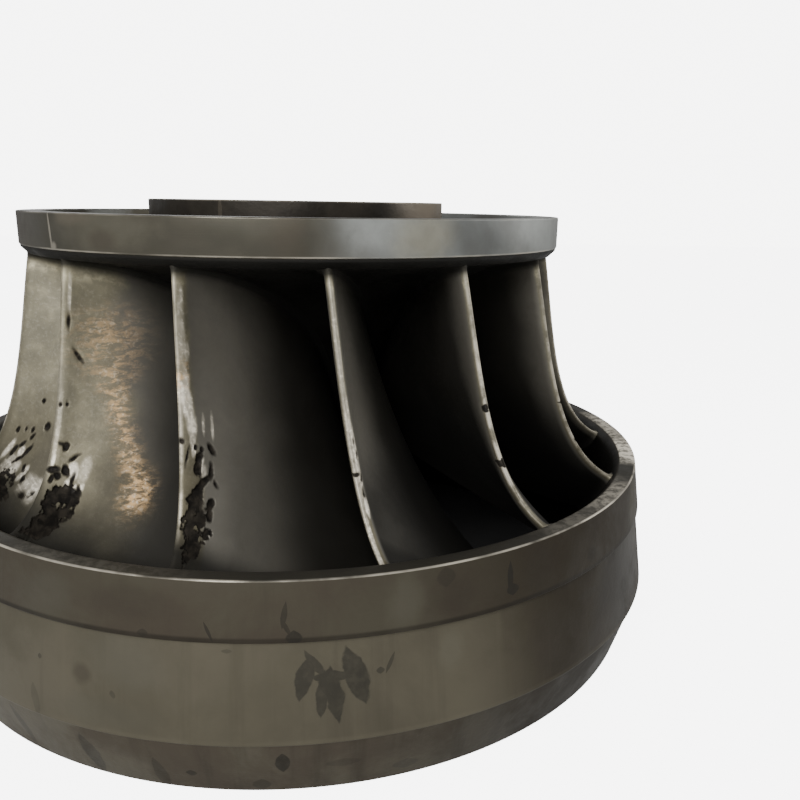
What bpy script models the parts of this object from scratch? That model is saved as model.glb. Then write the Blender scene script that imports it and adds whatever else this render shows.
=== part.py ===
"""Francis turbine runner: crown, fourteen blades and lower band, standing on the band.

Metres, +Z up along the shaft axis, origin at the centre of the band's bottom face.
Profiles are points (radius, height) and are turned round the axis.
"""
import math

import bmesh
import bpy
from mathutils import Vector

BLADE_COUNT = 14
SEGMENTS_PER_BLADE = 6
GAP = 0.0003
MERGE = 0.00001

RIM_RADIUS = 1.000
RIM_BOTTOM_Z = 1.410
RIM_HEIGHT = 0.110
RIM_WIDTH = 0.080
RIM_CHAMFER = 0.004

FLANGE_RADIUS = 0.560
FLANGE_TOP_Z = 1.565
FLANGE_THICKNESS = 0.102
FLANGE_CHAMFER = 0.006
BORE_RADIUS = 0.160

DECK_Z = 1.440
HUB_SEAT_RADIUS = 0.600
CROWN_TIP_RADIUS = 0.270
CROWN_TIP_Z = 0.640
CONE_TIP_RADIUS = 0.110
CONE_TIP_Z = 0.420
CONE_WALL = 0.035

LIP_Z = 0.635
LIP_OUTER_RADIUS = 1.345
LIP_INNER_RADIUS = 1.290
LIP_CHAMFER = 0.004
LAND_Z = 0.471
LAND_RADIUS = 1.368
SEAL_TOP_RADIUS = 1.358
SEAL_BOTTOM_RADIUS = 1.398
SEAL_BOTTOM_Z = 0.188
OUTLET_TOP_RADIUS = 1.392
OUTLET_BOTTOM_RADIUS = 1.335
BAND_SEAT_RADIUS = 1.300

BLADE_PHASE = math.radians(-40.3)
BLADE_THICKNESS = 0.028
BLADE_OUTLET_THICKNESS = 0.012
BLADE_SWEEP = math.radians(4.9)
WRAP_AT_CROWN = math.radians(52)
WRAP_AT_BAND = math.radians(25.5)
WRAP_POWER_AT_CROWN = 1.62
WRAP_POWER_AT_BAND = 1.41
SPAN_STATIONS = 6
CROWN_FLOW_STEPS = 9
BAND_FLOW_STEPS = 7
SPAN_OVERRUN = 0.05

# Meridional curves, each a cubic with its end points and two handles.
CROWN_FLOW = ((0.975, 1.382), (0.665, 1.352), (0.330, 1.145), (CROWN_TIP_RADIUS, CROWN_TIP_Z))
BAND_FLOW = ((1.268, 0.612), (1.205, 0.500), (1.205, 0.240), (1.258, 0.000))
LEADING_EDGE = ((0.975, 1.382), (1.034, 1.072), (1.059, 0.704), (1.268, 0.612))
CROWN_OUTLET_AT = 0.98
BAND_OUTLET_AT = 0.62
OUTLET_EDGE_DROP = 0.06

STEEL_GREY = (0.23, 0.24, 0.23, 1.0)
BAND_GREY = (0.16, 0.155, 0.13, 1.0)
DARK_STEEL = (0.07, 0.063, 0.055, 1.0)
BLADE_GREY = (0.28, 0.28, 0.25, 1.0)


def clear_scene():
    """Remove every object of the open file."""
    for item in list(bpy.data.objects):
        bpy.data.objects.remove(item, do_unlink=True)


def new_collection(name):
    """Add a collection to the scene."""
    collection = bpy.data.collections.new(name)
    bpy.context.scene.collection.children.link(collection)
    return collection


def steel(name, colour, roughness, metallic):
    """Make a plain metal material."""
    material = bpy.data.materials.new(name)
    material.use_nodes = True
    shader = material.node_tree.nodes["Principled BSDF"]
    shader.inputs["Base Color"].default_value = colour
    shader.inputs["Roughness"].default_value = roughness
    shader.inputs["Metallic"].default_value = metallic
    return material


def cubic(curve, share):
    """Give the point of a meridional cubic at a share of its way."""
    a, b, c, d = curve
    rest = 1.0 - share
    weights = (rest ** 3, 3 * rest * rest * share, 3 * rest * share * share, share ** 3)
    radius = sum(w * p[0] for w, p in zip(weights, (a, b, c, d)))
    height = sum(w * p[1] for w, p in zip(weights, (a, b, c, d)))
    return radius, height


def cubic_points(curve, count, first=0.0, last=1.0):
    """Give evenly stepped points along a meridional cubic."""
    return [cubic(curve, first + (last - first) * i / count) for i in range(count + 1)]


def offset_points(points, distance):
    """Shift an open line of points to the left of its direction of travel."""
    shifted = []
    for i, (radius, height) in enumerate(points):
        before = points[max(i - 1, 0)]
        after = points[min(i + 1, len(points) - 1)]
        along = Vector((after[0] - before[0], after[1] - before[1])).normalized()
        shifted.append((radius - along.y * distance, height + along.x * distance))
    return shifted


def turned(name, profile, collection, material=None):
    """Turn a closed profile, listed down its outer side first, round the axis."""
    mesh = bpy.data.meshes.new(name)
    points = [(radius, 0.0, height) for radius, height in profile]
    count = len(points)
    edges = [(i, (i + 1) % count) for i in range(count)]
    if profile[0][0] == 0.0 and profile[-1][0] == 0.0:
        edges.pop()
    mesh.from_pydata(points, edges, [])
    item = bpy.data.objects.new(name, mesh)
    collection.objects.link(item)
    screw = item.modifiers.new("Turn", "SCREW")
    screw.axis = "Z"
    screw.angle = math.tau
    screw.steps = BLADE_COUNT * SEGMENTS_PER_BLADE
    screw.render_steps = screw.steps
    screw.use_merge_vertices = True
    screw.merge_threshold = MERGE
    screw.use_smooth_shade = False
    if material:
        mesh.materials.append(material)
    return item


def crown_profile():
    """Give the cast crown's section: rim shoulder, flow surface, bore, hub seat and deck."""
    shoulder_radius = RIM_RADIUS - RIM_CHAMFER
    flow = cubic_points(CROWN_FLOW, CROWN_FLOW_STEPS)
    inner = RIM_RADIUS - RIM_WIDTH - GAP
    outer = [(inner, DECK_Z), (inner, RIM_BOTTOM_Z), (shoulder_radius, RIM_BOTTOM_Z)]
    outer.append((shoulder_radius, RIM_BOTTOM_Z - 2 * RIM_CHAMFER))
    hub = [(BORE_RADIUS, CROWN_TIP_Z), (BORE_RADIUS, FLANGE_TOP_Z - FLANGE_THICKNESS)]
    hub += [(HUB_SEAT_RADIUS, FLANGE_TOP_Z - FLANGE_THICKNESS), (HUB_SEAT_RADIUS + 0.03, DECK_Z)]
    return outer + flow + hub


def seal_ring_profile():
    """Give the section of the ring round the crown's rim."""
    bottom = RIM_BOTTOM_Z + GAP
    top = RIM_BOTTOM_Z + RIM_HEIGHT
    inner = RIM_RADIUS - RIM_WIDTH
    return [
        (RIM_RADIUS - RIM_CHAMFER, top),
        (RIM_RADIUS, top - RIM_CHAMFER),
        (RIM_RADIUS, bottom + RIM_CHAMFER),
        (RIM_RADIUS - RIM_CHAMFER, bottom),
        (inner, bottom),
        (inner, top - RIM_CHAMFER),
        (inner + RIM_CHAMFER, top),
    ]


def flange_profile():
    """Give the section of the shaft flange."""
    bottom = FLANGE_TOP_Z - FLANGE_THICKNESS + GAP
    return [
        (FLANGE_RADIUS - FLANGE_CHAMFER, FLANGE_TOP_Z),
        (FLANGE_RADIUS, FLANGE_TOP_Z - FLANGE_CHAMFER),
        (FLANGE_RADIUS, bottom),
        (BORE_RADIUS, bottom),
        (BORE_RADIUS, FLANGE_TOP_Z),
    ]


def cone_profile():
    """Give the section of the hollow cone under the crown."""
    top = CROWN_TIP_Z - GAP
    return [
        (CROWN_TIP_RADIUS, top),
        ((CROWN_TIP_RADIUS + CONE_TIP_RADIUS) / 2 + 0.012, (top + CONE_TIP_Z) / 2),
        (CONE_TIP_RADIUS, CONE_TIP_Z),
        (CONE_TIP_RADIUS - CONE_WALL, CONE_TIP_Z),
        (CROWN_TIP_RADIUS - 3 * CONE_WALL, top),
    ]


def band_profile():
    """Give the cast band's section: lip, upper land, ring seat and inner flow surface."""
    flow = cubic_points(BAND_FLOW, BAND_FLOW_STEPS)
    flow.reverse()
    outer = [
        (LIP_OUTER_RADIUS - LIP_CHAMFER, LIP_Z),
        (LIP_OUTER_RADIUS, LIP_Z - LIP_CHAMFER),
        (LAND_RADIUS, LAND_Z),
        (BAND_SEAT_RADIUS, LAND_Z),
        (BAND_SEAT_RADIUS, 0.0),
    ]
    return outer + flow + [(LIP_INNER_RADIUS, LIP_Z)]


def band_seal_profile():
    """Give the section of the middle land, which flares downwards."""
    top = LAND_Z - GAP
    inner = BAND_SEAT_RADIUS + GAP
    return [
        (SEAL_TOP_RADIUS, top),
        (SEAL_BOTTOM_RADIUS, SEAL_BOTTOM_Z),
        (inner, SEAL_BOTTOM_Z),
        (inner, top),
    ]


def outlet_ring_profile():
    """Give the section of the lower ring, which tapers inwards."""
    top = SEAL_BOTTOM_Z - GAP
    inner = BAND_SEAT_RADIUS + GAP
    return [(OUTLET_TOP_RADIUS, top), (OUTLET_BOTTOM_RADIUS, 0.0), (inner, 0.0), (inner, top)]


def outlet_edge(share):
    """Give the blade's outlet edge in the meridional plane, bowed downwards."""
    start = cubic(CROWN_FLOW, CROWN_OUTLET_AT)
    end = cubic(BAND_FLOW, BAND_OUTLET_AT)
    drop = 4 * share * (1 - share) * OUTLET_EDGE_DROP
    return start[0] + (end[0] - start[0]) * share, start[1] + (end[1] - start[1]) * share - drop


def camber(chord, span):
    """Give a point of the blade's middle surface; chord and span run from 0 to 1."""
    crown = cubic(CROWN_FLOW, chord * CROWN_OUTLET_AT)
    band = cubic(BAND_FLOW, chord * BAND_OUTLET_AT)
    inlet = cubic(LEADING_EDGE, span)
    outlet = outlet_edge(span)
    corners = (LEADING_EDGE[0], LEADING_EDGE[3], outlet_edge(0), outlet_edge(1))
    place = []
    for axis in (0, 1):
        across = (1 - span) * crown[axis] + span * band[axis]
        along = (1 - chord) * inlet[axis] + chord * outlet[axis]
        inlet_chord = (1 - span) * corners[0][axis] + span * corners[1][axis]
        outlet_chord = (1 - span) * corners[2][axis] + span * corners[3][axis]
        place.append(across + along - (1 - chord) * inlet_chord - chord * outlet_chord)
    wrap = WRAP_AT_CROWN + (WRAP_AT_BAND - WRAP_AT_CROWN) * span
    power = WRAP_POWER_AT_CROWN + (WRAP_POWER_AT_BAND - WRAP_POWER_AT_CROWN) * span
    angle = BLADE_PHASE + BLADE_SWEEP * span + wrap * chord ** power
    radius, height = place
    return Vector((radius * math.sin(angle), -radius * math.cos(angle), height))


def blade_section(span):
    """Give one closed ring of points round the blade at a span station."""
    nose = 0.5 * BLADE_THICKNESS
    stations = (
        (0.004, 0.62),
        (0.014, 1.0),
        (0.14, 1.1),
        (0.34, 1.12),
        (0.56, 0.98),
        (0.78, 0.72),
        (1.0, BLADE_OUTLET_THICKNESS / BLADE_THICKNESS),
    )
    step = 0.002
    near = []
    far = []
    for chord, share in stations:
        here = camber(chord, span)
        along = camber(chord + step, span) - camber(chord - step, span) if chord > step else None
        if along is None:
            along = camber(chord + step, span) - here
        across = camber(chord, span + step) - camber(chord, span - step)
        normal = along.cross(across).normalized()
        near.append(here + normal * nose * share)
        far.append(here - normal * nose * share)
    far.reverse()
    return [camber(0.0, span)] + near + far


def blade_mesh():
    """Loft the blade's sections from inside the crown to inside the band."""
    mesh = bpy.data.meshes.new("blade")
    shape = bmesh.new()
    rings = []
    for i in range(SPAN_STATIONS + 1):
        span = -SPAN_OVERRUN + (1 + 2 * SPAN_OVERRUN) * i / SPAN_STATIONS
        rings.append([shape.verts.new(point) for point in blade_section(span)])
    count = len(rings[0])
    for lower, upper in zip(rings, rings[1:]):
        for i in range(count):
            after = (i + 1) % count
            shape.faces.new((lower[i], lower[after], upper[after], upper[i]))
    shape.faces.new(list(reversed(rings[0])))
    shape.faces.new(rings[-1])
    bmesh.ops.triangulate(shape, faces=shape.faces[:])
    bmesh.ops.recalc_face_normals(shape, faces=shape.faces[:])
    shape.to_mesh(mesh)
    shape.free()
    return mesh


def crown_cutter_profile():
    """Give the space of the crown and cone, grown by the gap, which trims the blades."""
    flow = offset_points(cubic_points(CROWN_FLOW, CROWN_FLOW_STEPS), GAP)
    below = CROWN_TIP_Z - 0.1
    return [(0.0, 1.7), (1.2, 1.7), (1.2, flow[0][1])] + flow + [(flow[-1][0], below), (0.0, below)]


def band_cutter_profile():
    """Give the space of the band, grown by the gap, which trims the blades."""
    flow = offset_points(cubic_points(BAND_FLOW, BAND_FLOW_STEPS), -GAP)
    flow.reverse()
    inner = (LIP_INNER_RADIUS, LIP_Z + GAP)
    return [(1.6, LIP_Z + GAP), (1.6, 0.0)] + flow + [inner]


def cut(item, cutter):
    """Take the cutter's space out of an object."""
    boolean = item.modifiers.new("Cut", "BOOLEAN")
    boolean.operation = "DIFFERENCE"
    boolean.solver = "EXACT"
    boolean.object = cutter


def add_blades(parts, cutters, material):
    """Trim one blade to its seats and place its copies round the axis."""
    trimmers = [
        turned("crown_space", crown_cutter_profile(), cutters),
        turned("band_space", band_cutter_profile(), cutters),
    ]
    for trimmer in trimmers:
        trimmer.hide_render = True
        trimmer.display_type = "WIRE"
    raw = bpy.data.objects.new("blade_blank", blade_mesh())
    cutters.objects.link(raw)
    raw.hide_render = True
    raw.display_type = "WIRE"
    for trimmer in trimmers:
        cut(raw, trimmer)
    bpy.context.view_layer.update()
    graph = bpy.context.evaluated_depsgraph_get()
    mesh = bpy.data.meshes.new_from_object(raw.evaluated_get(graph))
    mesh.materials.clear()
    mesh.materials.append(material)
    for i in range(BLADE_COUNT):
        blade = bpy.data.objects.new(f"blade_{i + 1:02d}", mesh)
        blade.rotation_euler.z = i * math.tau / BLADE_COUNT
        parts.objects.link(blade)


def main():
    """Build the runner."""
    clear_scene()
    parts = new_collection("francis_turbine_runner")
    cutters = new_collection("cutters")
    machined = steel("machined_steel", STEEL_GREY, 0.35, 0.9)
    cast = steel("cast_steel", DARK_STEEL, 0.55, 0.8)
    worn = steel("worn_band_steel", BAND_GREY, 0.5, 0.8)
    ground = steel("ground_blade_steel", BLADE_GREY, 0.4, 0.9)
    turned("crown", crown_profile(), parts, cast)
    turned("crown_seal_ring", seal_ring_profile(), parts, machined)
    turned("coupling_flange", flange_profile(), parts, cast)
    turned("runner_cone", cone_profile(), parts, cast)
    turned("band", band_profile(), parts, worn)
    turned("band_seal_ring", band_seal_profile(), parts, worn)
    turned("band_outlet_ring", outlet_ring_profile(), parts, worn)
    add_blades(parts, cutters, ground)


main()
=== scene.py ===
"""Francis turbine runner: finished surfaces built round its solids.

The runner stands on its lower band, crown up. Metres, +Z up along the shaft axis.
An angle of 0 on the runner looks towards -Y and grows towards +X.
"""
import math
import random
from functools import reduce

import bmesh
import bpy
import numpy as np
from mathutils import Matrix, Vector, noise


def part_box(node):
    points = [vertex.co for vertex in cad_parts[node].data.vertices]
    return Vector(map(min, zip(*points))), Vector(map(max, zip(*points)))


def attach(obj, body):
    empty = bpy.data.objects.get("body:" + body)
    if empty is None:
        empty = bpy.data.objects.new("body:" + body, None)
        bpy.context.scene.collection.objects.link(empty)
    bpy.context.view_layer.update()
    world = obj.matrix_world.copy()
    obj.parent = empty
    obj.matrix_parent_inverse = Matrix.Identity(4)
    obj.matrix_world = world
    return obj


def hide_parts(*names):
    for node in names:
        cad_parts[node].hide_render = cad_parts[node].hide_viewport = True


bl_info = {
    "name": "Francis Turbine Runner",
    "version": (1, 0, 0),
    "blender": (4, 5, 0),
    "location": "View3D > Sidebar > Runner",
    "description": "Builds a worn francis turbine runner round its solids",
    "category": "Add Mesh",
}

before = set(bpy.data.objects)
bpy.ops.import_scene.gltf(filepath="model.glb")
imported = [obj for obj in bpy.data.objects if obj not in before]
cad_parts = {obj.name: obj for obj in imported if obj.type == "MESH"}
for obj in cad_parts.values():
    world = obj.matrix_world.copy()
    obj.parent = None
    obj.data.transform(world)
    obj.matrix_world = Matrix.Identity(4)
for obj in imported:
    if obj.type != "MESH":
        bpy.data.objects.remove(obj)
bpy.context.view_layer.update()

RIM_LOW, RIM_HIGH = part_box("crown_seal_ring")
FLANGE_LOW, FLANGE_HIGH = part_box("coupling_flange")
CROWN_LOW, CROWN_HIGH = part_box("crown")
CONE_LOW, CONE_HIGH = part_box("runner_cone")
BAND_LOW, BAND_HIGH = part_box("band")
SEAL_LOW, SEAL_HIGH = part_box("band_seal_ring")
OUTLET_LOW, OUTLET_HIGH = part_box("band_outlet_ring")

RIM_RADIUS, RIM_FOOT, RIM_TOP = map(float, (RIM_HIGH[0], RIM_LOW[2], RIM_HIGH[2]))
FLANGE_RADIUS, FLANGE_FOOT, FLANGE_TOP = map(float, (FLANGE_HIGH[0], FLANGE_LOW[2], FLANGE_HIGH[2]))
CROWN_RADIUS, CROWN_FOOT = float(CROWN_HIGH[0]), float(CROWN_LOW[2])
CONE_RADIUS, CONE_FOOT, CONE_TOP = map(float, (CONE_HIGH[0], CONE_LOW[2], CONE_HIGH[2]))
BAND_RADIUS, BAND_FOOT, BAND_TOP = map(float, (BAND_HIGH[0], BAND_LOW[2], BAND_HIGH[2]))
SEAL_RADIUS, SEAL_FOOT, LAND_Z = map(float, (SEAL_HIGH[0], SEAL_LOW[2], SEAL_HIGH[2]))
OUTLET_RADIUS, OUTLET_FOOT, OUTLET_TOP = map(float, (OUTLET_HIGH[0], OUTLET_LOW[2], OUTLET_HIGH[2]))

# Radii and heights that the boxes don't give.
SEAM = 0.0003
BORE = 0.160
DECK_Z = 1.440
HUB_SEAT = 0.600
HUB_FOOT = 0.630
CONE_TIP = 0.110
CONE_WALL = 0.035
LIP_OUTER = 1.345
LIP_INNER = 1.290
BAND_SEAT = 1.300
SEAL_SHOULDER = 1.358
OUTLET_SOLE = 1.335

# The runner's flow lines and blades, as the solids have them.
CROWN_FLOW = ((0.975, 1.382), (0.665, 1.352), (0.330, 1.145), (0.270, 0.640))
BAND_FLOW = ((1.268, 0.612), (1.205, 0.500), (1.205, 0.240), (1.258, 0.000))
LEADING_EDGE = ((0.975, 1.382), (1.034, 1.072), (1.059, 0.704), (1.268, 0.612))
CROWN_OUTLET_AT = 0.98
BAND_OUTLET_AT = 0.62
OUTLET_EDGE_DROP = 0.06
BLADE_PHASE = math.radians(-40.3)
BLADE_SWEEP = math.radians(4.9)
WRAP = (math.radians(52.0), math.radians(25.5))
WRAP_POWER = (1.62, 1.41)
THICKNESS_AT = (0.0, 0.14, 0.34, 0.56, 0.78, 1.0)
THICKNESS_SHARE = (1.0, 1.1, 1.12, 0.98, 0.72, 0.43)
NOSE_LENGTH = 2.2

ROOT = "root"
RING_STEPS = 336
EDGE_ANGLE = math.radians(38)
LENS = 34.61
FLOOR_Z = -0.001

# Stains: angle in degrees, then height, half width and half length in mm, lean and strength.
UPPER_STAINS = (
    (31.3, 555, 12, 50, 0.05, 0.75), (31.6, 520, 24, 18, 0.0, 0.75), (4.2, 545, 9, 40, 0.15, 0.55),
    (5.2, 486, 24, 20, 0.0, 0.75), (4.4, 512, 8, 30, -0.50, 0.55), (-3.9, 500, 5, 30, -0.45, 0.65),
    (-11.2, 485, 16, 12, 0.0, 0.40), (22.5, 600, 30, 30, 0.0, 0.30), (47.0, 520, 30, 30, 0.0, 0.30))
LAND_STAINS = (
    (7.3, 410, 17, 40, -0.65, 0.70), (6.2, 368, 27, 66, 0.22, 0.80), (9.5, 318, 27, 82, -0.13, 0.80),
    (8.2, 325, 19, 66, 0.10, 0.75), (9.0, 352, 34, 42, 0.0, 0.80), (11.9, 368, 38, 88, -0.30, 0.85),
    (9.4, 370, 58, 18, 0.12, 0.80), (14.6, 372, 13, 11, 0.0, 0.60), (15.7, 388, 7, 30, 0.45, 0.60),
    (-25.0, 356, 7, 8, 0.0, 0.60), (-15.0, 300, 10, 12, -0.3, 0.40), (-2.0, 446, 16, 6, 0.0, 0.40),
    (-25.5, 225, 16, 50, -0.25, 0.30), (46.0, 395, 60, 18, 0.0, 0.25))
FOOT_STAINS = (
    (3.7, 118, 22, 40, 0.0, 0.75), (-6.8, 68, 16, 12, 0.0, 0.60), (-19.2, 75, 30, 80, -0.25, 0.50),
    (-10.5, 50, 22, 70, -0.20, 0.40), (-30.0, 90, 20, 80, -0.25, 0.45), (1.2, 30, 30, 24, 0.0, 0.45),
    (10.5, 100, 60, 16, 0.0, 0.25), (18.0, 50, 40, 20, 0.0, 0.30))
# Bright stretches of the lip, worn metal and painted reflections of the light: angle in degrees, half
# length and strength.
LIP_BARE_AND_SHEEN = ((44.0, 0.16, 0.10), (57.0, 0.18, 0.30), (80.0, 0.18, 1.2), (95.0, 0.20, 0.6),
            (-20.0, 0.30, 0.05), (-160.0, 0.40, 0.4), (140.0, 0.40, 0.5))

# How each blade's face is worn and shaded: width of the ground strip, where the painted shade starts and
# is full (metres behind the nose), its least share, then rust, pitting, shine and the share of the
# nose's painted highlight.
BLADE_WEAR_AND_SHADE = (
    (0.160, 0.11, 0.40, 0.00, 1.0, 1.0, 1.0, 0.12), (0.036, 0.12, 0.48, 0.00, 0.0, 1.0, 1.0, 0.30),
    (0.006, 0.06, 0.32, 0.12, 0.0, 0.3, 1.0, 0.45), (0.006, 0.03, 0.26, 0.18, 0.0, 0.2, 0.4, 0.60),
    (0.008, 0.02, 0.18, 0.25, 0.0, 0.2, 0.3, 0.42), (0.050, 0.08, 0.36, 0.20, 0.5, 0.5, 0.6, 0.60),
    (0.090, 0.14, 0.46, 0.00, 0.3, 0.8, 0.7, 0.40), (0.040, 0.08, 0.36, 0.20, 0.6, 0.4, 0.5, 0.60),
    (0.120, 0.18, 0.54, 0.00, 0.4, 0.9, 0.8, 0.40), (0.060, 0.12, 0.42, 0.10, 0.7, 0.6, 0.6, 0.50),
    (0.035, 0.07, 0.34, 0.20, 0.3, 0.4, 0.4, 0.60), (0.100, 0.16, 0.50, 0.00, 0.5, 0.8, 0.7, 0.40),
    (0.130, 0.20, 0.56, 0.00, 0.4, 0.9, 0.8, 0.40), (0.600, 0.60, 0.95, 0.12, 0.0, 1.0, 1.0, 0.40))
# Blades whose foot lies in the shade of the next blade.
SHADED = (2, 3, 4, 5)
TAN_BLADE = 1
# Pits of the most worn blades: reach behind the nose, height, half length and
# half width in mm, and turn in degrees (0 runs down the blade, 90 runs inwards).
PITS = {
    0: ((52, 1094, 30, 6.5, -35), (21, 1196, 26, 5, 0), (8, 953, 7, 5, 0), (29, 951, 7, 6, 0),
        (43, 828, 14, 11, 0), (30, 836, 18, 5, 110), (73, 794, 19, 6, 58), (20, 767, 20, 10, 95),
        (58, 762, 19, 10, -35), (37, 748, 17, 8, -50), (22, 741, 11, 9, 0), (84, 734, 20, 6, 5),
        (113, 703, 16, 6, -30), (45, 692, 32, 22, 0), (76, 692, 30, 24, 0), (100, 678, 28, 20, 0),
        (50, 655, 32, 27, 0), (85, 648, 30, 27, 0), (114, 648, 18, 11, 0), (60, 625, 25, 40, 0)),
    1: ((3, 906, 9, 7, 0), (46, 882, 9, 8, 0), (67, 872, 8, 7, 0), (99, 866, 22, 8, -32),
        (16, 863, 26, 4, 15), (58, 853, 16, 12, 20), (50, 829, 22, 14, 0), (94, 808, 22, 9, 0),
        (68, 785, 32, 10, 60), (108, 773, 14, 5, -30), (40, 765, 32, 16, 50), (36, 735, 40, 17, 10),
        (56, 742, 30, 14, 0), (92, 729, 13, 12, 0), (30, 690, 35, 25, 0), (65, 692, 28, 21, 0),
        (88, 700, 18, 11, 0), (45, 652, 34, 33, 0), (82, 658, 22, 15, 0)),
    2: ((10, 905, 14, 4, 0), (16, 868, 12, 4, 8), (2, 818, 6, 12, 0), (16, 806, 10, 5, 20),
        (12, 768, 12, 4, 0)),
    3: ((0, 950, 11, 17, 0), (0, 785, 13, 17, 0), (12, 770, 10, 7, 0)),
    4: ((0, 880, 4, 9, 0), (4, 742, 8, 6, 0)),
    13: ((127, 877, 10, 7, 0), (169, 797, 15, 10, -30), (66, 781, 9, 7, 0), (95, 783, 8, 5, 0),
         (121, 783, 10, 6, 0), (130, 760, 13, 6, 30), (107, 737, 14, 7, 45), (136, 714, 21, 8, 22),
         (86, 710, 22, 8, 10), (116, 686, 18, 7, 40), (160, 668, 18, 6, -30), (186, 628, 21, 7, -20),
         (198, 644, 9, 7, 0), (156, 630, 14, 10, 0), (110, 625, 42, 30, 20), (150, 588, 30, 30, 0),
         (244, 588, 18, 7, 45), (212, 583, 24, 9, 50)),
}
PLAIN_PITS = 15
# Bare bright metal on the same blades: reach, height, half length, half width, turn, strength.
BARE = {
    0: ((22, 1285, 60, 5, 0, 0.7), (80, 758, 24, 14, -20, 1.1), (72, 722, 13, 9, 0, 1.1),
        (96, 710, 10, 7, 0, 1.0), (117, 712, 12, 7, 0, 0.7), (12, 793, 20, 6, 0, 0.8),
        (112, 758, 34, 18, 0, 0.35), (8, 880, 120, 8, 0, 0.35)),
    1: ((19, 1306, 26, 7, 0, 0.7), (17, 1223, 18, 5, 0, 0.7), (27, 1150, 24, 12, 0, 0.7),
        (14, 1190, 140, 12, 0, 0.40), (20, 1060, 34, 14, 0, 0.90), (20, 1010, 60, 19, -12, 1.3),
        (34, 948, 38, 17, -8, 1.3), (36, 905, 22, 11, 0, 0.9), (75, 938, 28, 5, 0, 0.5),
        (105, 926, 34, 5, 0, 0.8), (38, 873, 15, 8, 0, 1.2), (62, 842, 12, 10, 0, 0.9),
        (70, 812, 18, 10, 0, 0.6)),
    2: ((10, 865, 90, 9, 0, 1.1), (12, 735, 24, 9, 0, 1.1), (4, 960, 80, 6, 0, 0.8),
        (0, 660, 70, 4, 0, 0.8), (0, 1150, 160, 6, 0, 0.45)),
    13: ((65, 719, 30, 10, 15, 1.1), (116, 713, 16, 11, 0, 1.0), (128, 662, 22, 17, 0, 1.1),
         (96, 673, 30, 20, 0, 0.8), (173, 657, 16, 8, 0, 1.0), (168, 640, 12, 8, 0, 0.9),
         (213, 622, 26, 22, 30, 0.9), (260, 596, 34, 16, 0, 1.1)),
}


class RunnerSizes(bpy.types.PropertyGroup):
    """Sizes of the runner, in metres."""

    blade_count: bpy.props.IntProperty(
        name="Blades", description="Number of blades round the runner", default=14, min=3)
    rim_width: bpy.props.FloatProperty(
        name="Rim width", description="Radial width of the ring on the crown's rim",
        default=0.080, unit="LENGTH")
    edge_round: bpy.props.FloatProperty(
        name="Edge rounding", description="Radius of the worn edges of the rings",
        default=0.005, unit="LENGTH")
    blade_thickness: bpy.props.FloatProperty(
        name="Blade thickness", description="Thickness of a blade behind its leading edge",
        default=0.028, unit="LENGTH")
    weld_radius: bpy.props.FloatProperty(
        name="Weld radius", description="Radius of the ground welds at both ends of a blade",
        default=0.026, unit="LENGTH")
    pit_depth: bpy.props.FloatProperty(
        name="Pit depth", description="Depth of the pits eaten into the leading edges",
        default=0.006, unit="LENGTH")
    bolt_count: bpy.props.IntProperty(
        name="Coupling holes", description="Number of bolt holes in the shaft flange",
        default=16, min=4)
    bolt_circle: bpy.props.FloatProperty(
        name="Coupling circle", description="Radius of the circle of coupling bolt holes",
        default=0.430, unit="LENGTH")
    bolt_hole: bpy.props.FloatProperty(
        name="Coupling hole", description="Radius of one coupling bolt hole",
        default=0.034, unit="LENGTH")


class RunnerColours(bpy.types.PropertyGroup):
    """Main colours of the finishes."""

    # Laid on the right of the rim ring, where it is painted light.
    turned_steel: bpy.props.FloatVectorProperty(
        name="Turned steel", description="Machined ring round the crown, blue-grey",
        subtype="COLOR", size=3, default=(0.25, 0.26, 0.25))
    # Also laid on the left of the rim ring as painted shade.
    olive_steel: bpy.props.FloatVectorProperty(
        name="Olive steel", description="Tarnished olive-grey patches",
        subtype="COLOR", size=3, default=(0.066, 0.062, 0.047))
    # Also laid as painted shade on the right of the band and its rings, and along the band's step.
    brown_steel: bpy.props.FloatVectorProperty(
        name="Brown steel", description="Tarnished brown patches",
        subtype="COLOR", size=3, default=(0.060, 0.050, 0.037))
    blade_steel: bpy.props.FloatVectorProperty(
        name="Blade steel", description="Beige ground steel near the leading edges",
        subtype="COLOR", size=3, default=(0.355, 0.322, 0.220))
    ground_steel: bpy.props.FloatVectorProperty(
        name="Ground steel", description="Grey tone within the ground steel",
        subtype="COLOR", size=3, default=(0.215, 0.200, 0.148))
    smooth_steel: bpy.props.FloatVectorProperty(
        name="Smooth steel", description="Smooth darker steel behind the ground strip",
        subtype="COLOR", size=3, default=(0.195, 0.182, 0.152))
    # Laid on worn metal, and also as painted highlights and reflections on edges, noses and the lip.
    worn_edge: bpy.props.FloatVectorProperty(
        name="Worn edge", description="Bare bright metal of worn edges",
        subtype="COLOR", size=3, default=(0.62, 0.57, 0.47))
    band_steel: bpy.props.FloatVectorProperty(
        name="Band steel", description="Olive-grey steel of the wide band",
        subtype="COLOR", size=3, default=(0.098, 0.088, 0.063))
    # Laid as real dark stains, and also as painted shade on deep faces, undersides and ends.
    oxide: bpy.props.FloatVectorProperty(
        name="Oxide", description="Near-black skin of the deep and unworked surfaces",
        subtype="COLOR", size=3, default=(0.022, 0.0205, 0.017))
    rust: bpy.props.FloatVectorProperty(
        name="Rust", description="Light rust on the blades",
        subtype="COLOR", size=3, default=(0.80, 0.52, 0.25))


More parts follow.
